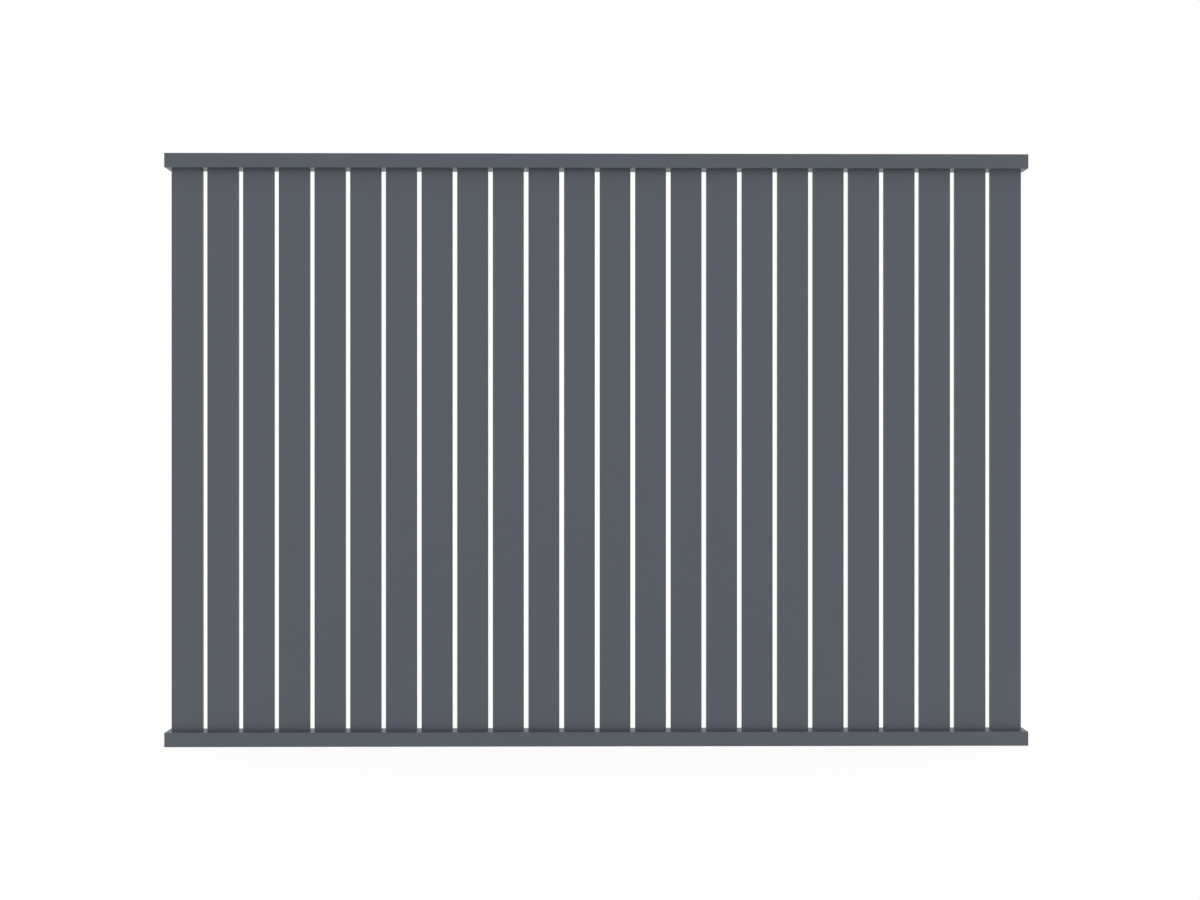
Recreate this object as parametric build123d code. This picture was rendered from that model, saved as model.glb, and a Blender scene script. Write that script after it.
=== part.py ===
"""Vertical slat fence panel: hollow slats standing in two slotted box rails, held by hidden bars.

Millimetres. X runs along the panel, Y to its back and Z up.
The origin lies under the middle of the panel, on the ground.
"""

from build123d import *
import os

# Whole panel
panel_height = 1242
slat_count = 24
slat_gap = 10
rail_overhang = 10

# Slats, one hollow extrusion with a stiffening web in its middle
slat_width = 65
slat_thickness = 12
slat_wall = 1.2
slat_web = 1.2
slat_corner_radius = 1.2

# Rails, box extrusions with one slot for each slat in their inner wall
rail_depth = 50
rail_height = 30
rail_wall = 2
rail_corner_radius = 1
rail_inner_radius = 0.5
slot_clearance = 0.25

# Retaining bars, one inside each rail, threaded through a window in every slat
bar_height = 10
bar_thickness = 5
bar_lead_in = 1
bar_clearance = 0.3
bar_end_clearance = 0.5

# Moulded end caps pushed into the rails, notched so that the bar's end passes
cap_flange = 2
cap_edge_chamfer = 0.6
plug_wall = 1.6
plug_clearance = 0.5
plug_slat_clearance = 1
plug_notch_clearance = 1
rib_width = 1.2
rib_clearance = 0.05
rib_offset = 14

# Drain slots in the underside of the bottom rail
drain_count = 4
drain_length = 20
drain_width = 5

# Sizes that follow from the ones above
slat_pitch = slat_width + slat_gap
panel_length = slat_count * slat_pitch - slat_gap + 2 * rail_overhang
slat_length = panel_height - 2 * rail_wall
rail_length = panel_length - 2 * cap_flange
rail_inner_depth = rail_depth - 2 * rail_wall
rail_inner_height = rail_height - 2 * rail_wall
bar_middle = rail_height - rail_wall - bar_clearance - bar_height / 2
slat_places = [(number - (slat_count - 1) / 2) * slat_pitch for number in range(slat_count)]


def rail_section():
    """Outline that the rails and the flanges of their caps share."""
    return RectangleRounded(rail_depth, rail_height, rail_corner_radius)


def rail():
    """Bottom rail lying on the ground with its slots up, without drain slots."""
    with BuildPart() as body:
        with BuildSketch(Plane.YZ.offset(-rail_length / 2)):
            with Locations((0, rail_height / 2)):
                rail_section()
                RectangleRounded(rail_inner_depth, rail_inner_height, rail_inner_radius, mode=Mode.SUBTRACT)
        extrude(amount=rail_length)
        with BuildSketch(Plane.XY.offset(rail_height)):
            with Locations([(x, 0) for x in slat_places]):
                Rectangle(slat_width + 2 * slot_clearance, slat_thickness + 2 * slot_clearance)
        extrude(amount=-rail_wall, mode=Mode.SUBTRACT)
    return body.part


def drained(plain_rail):
    """The rail with drain slots in its underside, which lie in gaps between slats."""
    with BuildPart() as body:
        add(plain_rail)
        with BuildSketch(Plane.XY):
            with GridLocations(slat_count / drain_count * slat_pitch, 0, drain_count, 1):
                SlotOverall(drain_length, drain_width)
        extrude(amount=rail_wall, mode=Mode.SUBTRACT)
    return body.part


def slat():
    """One slat standing on the bottom rail's floor, with a window near each end for the bar."""
    cell_width = (slat_width - 2 * slat_wall - slat_web) / 2
    cell_pitch = cell_width + slat_web
    with BuildPart() as body:
        with BuildSketch(Plane.XY.offset(rail_wall)):
            RectangleRounded(slat_width, slat_thickness, slat_corner_radius)
            with GridLocations(cell_pitch, 0, 2, 1):
                Rectangle(cell_width, slat_thickness - 2 * slat_wall, mode=Mode.SUBTRACT)
        extrude(amount=slat_length)
        with BuildSketch(Plane.YZ):
            with Locations((0, bar_middle), (0, panel_height - bar_middle)):
                Rectangle(bar_thickness + 2 * bar_clearance, bar_height + 2 * bar_clearance)
        extrude(amount=slat_width / 2, both=True, mode=Mode.SUBTRACT)
    return body.part


def retaining_bar():
    """Flat bar in the bottom rail, close under its slotted wall, chamfered so that it threads in easily."""
    bar_length = rail_length - 2 * bar_end_clearance
    with BuildPart() as body:
        with Locations((0, 0, bar_middle)):
            Box(bar_length, bar_thickness, bar_height)
        chamfer(body.edges().filter_by(Axis.X, reverse=True), bar_lead_in)
    return body.part


def end_cap():
    """Cap for the right-hand end of the bottom rail; the same moulding fits all four ends."""
    plug_length = rail_overhang - cap_flange - plug_slat_clearance
    plug_depth = rail_inner_depth - 2 * plug_clearance
    plug_height = rail_inner_height - 2 * plug_clearance
    end_plane = Plane.YZ.offset(rail_length / 2)
    with BuildPart() as body:
        with BuildSketch(end_plane):
            with Locations((0, rail_height / 2)):
                rail_section()
        extrude(amount=cap_flange)
        chamfer(body.faces().sort_by(Axis.X)[-1].edges(), cap_edge_chamfer)
        with BuildSketch(end_plane):
            with Locations((0, rail_height / 2)):
                Rectangle(plug_depth, plug_height)
                Rectangle(plug_depth - 2 * plug_wall, plug_height - 2 * plug_wall, mode=Mode.SUBTRACT)
                with GridLocations(2 * rib_offset, 0, 2, 1):
                    Rectangle(rib_width, rail_inner_height - 2 * rib_clearance)
                Rectangle(bar_thickness + 2 * plug_notch_clearance, rail_inner_height, mode=Mode.SUBTRACT)
                Rectangle(rail_inner_depth - 2 * rib_clearance, rib_width)
        extrude(amount=-plug_length)
    return body.part


def write(name, shape):
    """Save one piece under its name."""
    export_step(shape, f"parts/{name}.step")


def write_mirrored(name, bottom_shape):
    """Save a bottom piece's mirror image at the top of the panel."""
    write(name, mirror(bottom_shape, Plane.XY.offset(panel_height / 2)))


def main():
    os.makedirs("parts", exist_ok=True)
    plain_rail = rail()
    write("bottom_rail", drained(plain_rail))
    write_mirrored("top_rail", plain_rail)
    standing_slat = slat()
    for number, x in enumerate(slat_places, start=1):
        write(f"slat_{number:02d}", Pos(x, 0, 0) * standing_slat)
    bar = retaining_bar()
    write("bottom_retaining_bar", bar)
    write_mirrored("top_retaining_bar", bar)
    right_cap = end_cap()
    left_cap = mirror(right_cap, Plane.YZ)
    write("bottom_right_end_cap", right_cap)
    write("bottom_left_end_cap", left_cap)
    write_mirrored("top_right_end_cap", right_cap)
    write_mirrored("top_left_end_cap", left_cap)


main()
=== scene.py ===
import math

import bmesh
import bpy
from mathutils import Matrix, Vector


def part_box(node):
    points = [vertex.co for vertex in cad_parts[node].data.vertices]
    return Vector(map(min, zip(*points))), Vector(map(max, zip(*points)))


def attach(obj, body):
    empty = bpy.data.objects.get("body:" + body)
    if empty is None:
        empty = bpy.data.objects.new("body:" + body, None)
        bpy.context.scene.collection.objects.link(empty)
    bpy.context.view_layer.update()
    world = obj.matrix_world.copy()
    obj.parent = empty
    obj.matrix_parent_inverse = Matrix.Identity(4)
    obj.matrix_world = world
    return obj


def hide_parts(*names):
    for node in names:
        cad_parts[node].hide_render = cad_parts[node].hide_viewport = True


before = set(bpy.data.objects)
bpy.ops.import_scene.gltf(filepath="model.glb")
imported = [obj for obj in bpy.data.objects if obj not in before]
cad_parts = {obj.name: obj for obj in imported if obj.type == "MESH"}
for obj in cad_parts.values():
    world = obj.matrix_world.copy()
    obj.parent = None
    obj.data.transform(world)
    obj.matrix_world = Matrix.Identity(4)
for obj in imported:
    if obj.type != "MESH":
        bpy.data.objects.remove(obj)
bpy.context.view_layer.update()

# Slats
# Hollow aluminium extrusions with rounded long edges, punched near both ends for the retaining bars. Like
# the rails they are powder coated, in anthracite polyester that bakes to a satin sheen and a fine hard grit.

SLATS = sorted(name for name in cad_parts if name.startswith("slat_"))
# The coat's colour runs between these two: darker in the clouds' low parts as its own random tone, and darker
# in the grit's pits as painted shade.
COAT_DARK = (0.0525, 0.0626, 0.0765, 1)
COAT_LIGHT = (0.0803, 0.0950, 0.1155, 1)
COAT_IOR = 1.5
COAT_SMOOTH = 0.37
COAT_ROUGH = 0.46
CLOUDS_PER_METRE = 7
CLOUD_DETAIL = 3
CLOUD_SHARE = 0.15
PEEL_PER_METRE = 420
PEEL_SHARE = 0.5
GRIT_PER_METRE = 2400
GRIT_DETAIL = 1
COAT_RELIEF = 0.00007


class Wire:
    """A shader socket that plain arithmetic works on: each operator adds a Math node."""

    def __init__(self, tree, socket=None):
        self.tree = tree
        self.socket = socket

    def node(self, kind, settings, inputs, output=0):
        """Adds a node with these settings and inputs, and gives one of its outputs."""
        made = self.tree.nodes.new(kind)
        for name, value in settings.items():
            setattr(made, name, value)
        for name, value in inputs.items():
            if isinstance(value, Wire):
                self.tree.links.new(value.socket, made.inputs[name])
            else:
                made.inputs[name].default_value = value
        return Wire(self.tree, made.outputs[output])

    def math(self, operation, other):
        return self.node("ShaderNodeMath", {"operation": operation}, {0: self, 1: other})

    def __add__(self, other):
        return self.math("ADD", other)

    def __mul__(self, other):
        return self.math("MULTIPLY", other)

    __radd__ = __add__
    __rmul__ = __mul__

    def blend(self, low, high):
        """The colour low where this wire is 0 and high where it is 1: a Mix node's colours are 6, 7 and 2."""
        return self.node("ShaderNodeMix", {"data_type": "RGBA"}, {0: self, 6: low, 7: high}, output=2)

    def noise(self, scale, detail):
        """Cloudy values from 0 to 1 over this wire's places."""
        return self.node("ShaderNodeTexNoise", {}, {"Vector": self, "Scale": scale, "Detail": detail})

    def bump(self, height):
        """Surface normals for a relief that is this wire times a height in metres."""
        return self.node("ShaderNodeBump", {}, {"Height": self, "Distance": height})

    def feed(self, shader, socket):
        """Links this wire to one of the shader's sockets."""
        self.tree.links.new(self.socket, shader.inputs[socket])


def new_finish(name, constants):
    """A material with its principled shader, and the wire of each point's place in metres."""
    finish = bpy.data.materials.new(name)
    finish.use_nodes = True
    tree = finish.node_tree
    shader = tree.nodes["Principled BSDF"]
    for socket, value in constants.items():
        shader.inputs[socket].default_value = value
    return finish, shader, Wire(tree).node("ShaderNodeTexCoord", {}, {}, "Object")


powder_coat, shader, place = new_finish("anthracite_powder_coat", {"IOR": COAT_IOR})
clouds = place.noise(CLOUDS_PER_METRE, CLOUD_DETAIL)
peel = place.noise(PEEL_PER_METRE, GRIT_DETAIL)
grit_and_pit_shade = place.noise(GRIT_PER_METRE, GRIT_DETAIL)
# Base colour: the slow clouds are the coat's own tone that differs at random. The grit darkens the coat where
# its bump sinks, which is painted shade in the pits.
(CLOUD_SHARE * clouds + (1 - CLOUD_SHARE) * grit_and_pit_shade).blend(COAT_DARK, COAT_LIGHT).feed(shader, "Base Color")
(COAT_SMOOTH + (COAT_ROUGH - COAT_SMOOTH) * clouds).feed(shader, "Roughness")
(PEEL_SHARE * peel + (1 - PEEL_SHARE) * grit_and_pit_shade).bump(COAT_RELIEF).feed(shader, "Normal")

for name in SLATS:
    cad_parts[name].material_slots[0].material = powder_coat

# Rails
# Two box extrusions of aluminium, 50 by 30 mm, each punched with one slot for every slat in its inner wall.
# The bottom one also has drain slots. The coat goes over the punched edges and softens them.

RAIL_WALL = 0.002
RAIL_CORNER = 0.001
RAIL_INNER_CORNER = 0.0005
SLAT_CORNER = 0.0012
SLOT_CLEARANCE = 0.00025
DRAIN_LENGTH = 0.020
DRAIN_WIDTH = 0.005
DRAIN_PITCH = 0.450
DRAIN_COUNT = 4
PUNCH_OVERSHOOT = 0.001
JOIN_DISTANCE = 0.000001
CORNER_STEPS = 6
HARD_EDGE = math.radians(30)
LIP_SOFTNESS = 0.0002
LIP_STEPS = 2


def rounded_outline(width, height, radius):
    """Points of a rounded rectangle around the origin, anticlockwise."""
    points = []
    for corner, (right, up) in enumerate(((1, 1), (-1, 1), (-1, -1), (1, -1))):
        for step in range(CORNER_STEPS + 1):
            angle = (corner + step / CORNER_STEPS) * math.pi / 2
            points.append((
                right * (width / 2 - radius) + radius * math.cos(angle),
                up * (height / 2 - radius) + radius * math.sin(angle),
            ))
    return points


def ring(mesh, points):
    """Vertices at the given points."""
    return [mesh.verts.new(point) for point in points]


def skin(mesh, first, second):
    """Faces between two rings with as many vertices."""
    for i in range(len(first)):
        j = (i + 1) % len(first)
        mesh.faces.new((first[i], first[j], second[j], second[i]))


def as_object(name, mesh):
    """A new object in the scene from a finished bmesh, without doubled points."""
    bmesh.ops.remove_doubles(mesh, verts=mesh.verts, dist=JOIN_DISTANCE)
    bmesh.ops.recalc_face_normals(mesh, faces=mesh.faces)
    data = bpy.data.meshes.new(name)
    mesh.to_mesh(data)
    mesh.free()
    piece = bpy.data.objects.new(name, data)
    bpy.context.scene.collection.objects.link(piece)
    return piece


def box_section(name, low, high):
    """The rail's hollow section, drawn along X from end to end, before it is punched."""
    middle = (low + high) / 2
    depth = high.y - low.y
    height = high.z - low.z
    outer = rounded_outline(depth, height, RAIL_CORNER)
    inner = rounded_outline(depth - 2 * RAIL_WALL, height - 2 * RAIL_WALL, RAIL_INNER_CORNER)
    mesh = bmesh.new()
    left_outer, left_inner, right_outer, right_inner = [
        ring(mesh, [(x, middle.y + y, middle.z + z) for y, z in outline])
        for x in (low.x, high.x) for outline in (outer, inner)
    ]
    skin(mesh, left_outer, right_outer)
    skin(mesh, left_inner, right_inner)
    skin(mesh, left_outer, left_inner)
    skin(mesh, right_outer, right_inner)
    return as_object(name, mesh)


def add_punch(mesh, outline, x, y, wall):
    """A closed prism of that outline, from just below a wall to just above it."""
    levels = [ring(mesh, [(x + dx, y + dy, z) for dx, dy in outline])
              for z in (wall[0] - PUNCH_OVERSHOOT, wall[1] + PUNCH_OVERSHOOT)]
    skin(mesh, *levels)
    for level in levels:
        mesh.faces.new(level)


def cut_out(piece, punches):
    """Takes the punches' shapes out of the piece."""
    cutter = as_object("cutter", punches)
    boolean = piece.modifiers.new("punch", "BOOLEAN")
    boolean.operation = "DIFFERENCE"
    boolean.solver = "EXACT"
    boolean.object = cutter
    graph = bpy.context.evaluated_depsgraph_get()
    punched = bpy.data.meshes.new_from_object(piece.evaluated_get(graph))
    piece.modifiers.remove(boolean)
    piece.data = punched
    bpy.data.objects.remove(cutter)


def soften(piece, width, steps):
    """Rounds the piece's hard edges, and keeps its flat faces flat."""
    bevel = piece.modifiers.new("soft edges", "BEVEL")
    bevel.width = width
    bevel.segments = steps
    bevel.limit_method = "ANGLE"
    bevel.angle_limit = HARD_EDGE
    piece.modifiers.new("flat faces", "WEIGHTED_NORMAL")


for name in ("top_rail", "bottom_rail"):
    low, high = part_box(name)
    rail = box_section(name + "_punched", low, high)
    lower_wall = (low.z, low.z + RAIL_WALL)
    upper_wall = (high.z - RAIL_WALL, high.z)
    slotted_wall = lower_wall if name == "top_rail" else upper_wall
    punches = bmesh.new()
    for slat in SLATS:
        slat_low, slat_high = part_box(slat)
        middle = (slat_low + slat_high) / 2
        slot = rounded_outline(
            slat_high.x - slat_low.x + 2 * SLOT_CLEARANCE,
            slat_high.y - slat_low.y + 2 * SLOT_CLEARANCE,
            SLAT_CORNER + SLOT_CLEARANCE,
        )
        add_punch(punches, slot, middle.x, middle.y, slotted_wall)
    if name == "bottom_rail":
        drain = rounded_outline(DRAIN_LENGTH, DRAIN_WIDTH, DRAIN_WIDTH / 2)
        for number in range(DRAIN_COUNT):
            add_punch(punches, drain, (number - (DRAIN_COUNT - 1) / 2) * DRAIN_PITCH, 0, lower_wall)
    cut_out(rail, punches)
    rail.data.shade_smooth()
    soften(rail, LIP_SOFTNESS, LIP_STEPS)
    rail.data.materials.append(powder_coat)
    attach(rail, "root")
    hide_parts(name)

# Retaining bars
# Flat aluminium bars, 10 by 5 mm, one in each rail. They are threaded through the windows of all the slats
# from the rail's end, and keep the mill finish that the extrusion die gave them.

BAR_DULL = (0.55, 0.56, 0.57, 1)
BAR_BRIGHT = (0.70, 0.71, 0.72, 1)
BAR_SMOOTH = 0.32
BAR_ROUGH = 0.52
BAR_EDGE = 0.0004
EDGE_STEPS = 3
DIE_LINES = (2, 700, 700)
DIE_LINE_DETAIL = 3
DIE_LINE_HEIGHT = 0.00001
FLAT_ANGLE = math.radians(1)

mill_aluminium, shader, place = new_finish("mill_aluminium", {"Metallic": 1})
stretched = place.node("ShaderNodeVectorMath", {"operation": "MULTIPLY"}, {0: place, 1: DIE_LINES})
lines = stretched.noise(1, DIE_LINE_DETAIL)
lines.blend(BAR_DULL, BAR_BRIGHT).feed(shader, "Base Color")
(BAR_SMOOTH + (BAR_ROUGH - BAR_SMOOTH) * lines).feed(shader, "Roughness")
lines.bump(DIE_LINE_HEIGHT).feed(shader, "Normal")


def soften_solid(piece, width):
    """Joins the faces of a CAD solid, then rounds its hard edges."""
    piece.modifiers.new("join", "WELD").merge_threshold = JOIN_DISTANCE
    flat = piece.modifiers.new("whole faces", "DECIMATE")
    flat.decimate_type = "DISSOLVE"
    flat.angle_limit = FLAT_ANGLE
    soften(piece, width, EDGE_STEPS)


for name in ("top_retaining_bar", "bottom_retaining_bar"):
    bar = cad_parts[name]
    soften_solid(bar, BAR_EDGE)
    bar.material_slots[0].material = mill_aluminium

# End caps
# Nylon mouldings in the colour of the coat, pushed into the rails' ends up to their flange. Ribs hold the
# plug tight, and its notches let the end of the retaining bar pass. The mould gives them a fine matt grain.

CAP_DARK = (0.060, 0.070, 0.082, 1)
CAP_LIGHT = (0.066, 0.077, 0.090, 1)
CAP_IOR = 1.5
CAP_SMOOTH = 0.52
CAP_ROUGH = 0.64
CAP_EDGE = 0.0002
FLOW_PER_METRE = 60
GRAIN_PER_METRE = 1700
GRAIN_DETAIL = 2
GRAIN_HEIGHT = 0.00003

grained_nylon, shader, place = new_finish("grained_nylon", {"IOR": CAP_IOR})
grain = place.noise(GRAIN_PER_METRE, GRAIN_DETAIL)
place.noise(FLOW_PER_METRE, GRAIN_DETAIL).blend(CAP_DARK, CAP_LIGHT).feed(shader, "Base Color")
(CAP_SMOOTH + (CAP_ROUGH - CAP_SMOOTH) * grain).feed(shader, "Roughness")
grain.bump(GRAIN_HEIGHT).feed(shader, "Normal")

for side in ("left", "right"):
    for row in ("top", "bottom"):
        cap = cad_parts[f"{row}_{side}_end_cap"]
        soften_solid(cap, CAP_EDGE)
        cap.material_slots[0].material = grained_nylon

# Floor
# A plain white studio floor that runs out to the horizon. The camera sees it as white as the backdrop, with a
# part of the panel's shadow.

FLOOR_SIZE = 60
FLOOR_GLOW = 0.9
WHITE = (1, 1, 1, 1)


def seen_white(tree):
    """1 for the rays that show the studio itself: from the camera, off a gloss or through glass, else 0."""
    camera_ray, glossy_ray, transmission_ray = [
        Wire(tree).node("ShaderNodeLightPath", {}, {}, kind)
        for kind in ("Is Camera Ray", "Is Glossy Ray", "Is Transmission Ray")
    ]
    return camera_ray.math("MAXIMUM", glossy_ray).math("MAXIMUM", transmission_ray)


floor_mesh = bmesh.new()
bmesh.ops.create_grid(floor_mesh, x_segments=1, y_segments=1, size=FLOOR_SIZE / 2)
floor = as_object("floor", floor_mesh)
floor_paint = bpy.data.materials.new("floor_paint")
floor_paint.use_nodes = True
tree = floor_paint.node_tree
tree.nodes.remove(tree.nodes["Principled BSDF"])
seen = seen_white(tree)
paint = seen.node("ShaderNodeBsdfDiffuse", {}, {"Color": WHITE})
glow = seen.node("ShaderNodeEmission", {}, {"Color": WHITE})
floor_look = seen.node("ShaderNodeMixShader", {}, {0: FLOOR_GLOW * seen, 1: paint, 2: glow})
floor_look.feed(tree.nodes["Material Output"], "Surface")
floor.data.materials.append(floor_paint)

# Light
# Plain soft studio light: a white tent, brighter overhead and darker towards the panel's two ends. Strips low
# in front and behind fill in what the panel's own shadow takes, and don't light the floor. Tall boxes at the
# sides give the coat its sheen.

TENT_SIDE = (0.875, 0.875, 0.875, 1)
TENT_TOP = (1.55, 1.55, 1.55, 1)
TENT_END = (0.7, 0.7, 0.7, 1)
STRIP_LENGTH = 2.4
FAR_STRIP = {"distance": 0.30, "height": 0.025, "level": 2.1}
NEAR_STRIP = {"distance": 0.06, "height": 0.008, "level": 0.65}
BOX_DISTANCE = 3.2
BOX_ANGLES = (-72, 72, 108, -108)
BOX_SIZE = (0.9, 1.6)
BOX_HEIGHT = 1.1
BOX_LEVEL = 3

studio = bpy.data.worlds.new("studio")
studio.use_nodes = True
tree = studio.node_tree
direction = Wire(tree).node("ShaderNodeTexCoord", {}, {}, "Generated")
along = direction.node("ShaderNodeSeparateXYZ", {}, {"Vector": direction}, "X")
upward = direction.node("ShaderNodeSeparateXYZ", {}, {"Vector": direction}, "Z")
tent = (along * along).blend(TENT_SIDE, TENT_END)
tent = (upward * upward * upward).blend(tent, TENT_TOP)
seen_white(tree).blend(tent, WHITE).feed(tree.nodes["Background"], "Color")
bpy.context.scene.world = studio

strips_skip = bpy.data.collections.new("not lit by the strips")
strips_skip.objects.link(floor)
strips_skip.collection_objects[0].light_linking.link_state = "EXCLUDE"


def soft_lamp(name, position, turn, size, level):
    """An upright lamp that faces the panel. At level 1 it is as bright as the studio's plain white."""
    light = bpy.data.lights.new(name, "AREA")
    light.shape = "RECTANGLE"
    light.size, light.size_y = size
    light.energy = level * math.pi * size[0] * size[1]
    lamp = bpy.data.objects.new(name, light)
    bpy.context.scene.collection.objects.link(lamp)
    lamp.location = position
    lamp.rotation_euler = (math.pi / 2, 0, turn)
    lamp.visible_camera = False
    return lamp


for strip in (FAR_STRIP, NEAR_STRIP):
    for side, turn in ((-1, 0), (1, math.pi)):
        position = (0, side * strip["distance"], strip["height"] / 2)
        lamp = soft_lamp("strip", position, turn, (STRIP_LENGTH, strip["height"]), strip["level"])
        lamp.visible_glossy = False
        lamp.light_linking.receiver_collection = strips_skip

for degrees in BOX_ANGLES:
    angle = math.radians(degrees)
    position = (BOX_DISTANCE * math.sin(angle), -BOX_DISTANCE * math.cos(angle), BOX_HEIGHT)
    box = soft_lamp("tall_box", position, angle, BOX_SIZE, BOX_LEVEL)
    box.visible_diffuse = False

# Camera
# It stands 3.1 m in front of the panel, at half its height and a hair to the left of its middle, and looks
# straight at it. The lines of the slats and rails in the photograph give its place and turn.

PHOTO_WIDTH = 1200
FOCAL_PIXELS = 1489.45
SENSOR_WIDTH = 36
CAMERA_PLACE = (-0.0205, -3.1438, 0.6227)
CAMERA_NOD = math.radians(-0.03)
CAMERA_TURN = math.radians(-0.48)

lens = bpy.data.cameras.new("camera")
lens.sensor_width = SENSOR_WIDTH
lens.lens = FOCAL_PIXELS * SENSOR_WIDTH / PHOTO_WIDTH
camera = bpy.data.objects.new("camera", lens)
bpy.context.scene.collection.objects.link(camera)
camera.location = CAMERA_PLACE
camera.rotation_euler = (math.pi / 2 + CAMERA_NOD, 0, CAMERA_TURN)
bpy.context.scene.camera = camera
bpy.context.scene.view_settings.view_transform = "Standard"
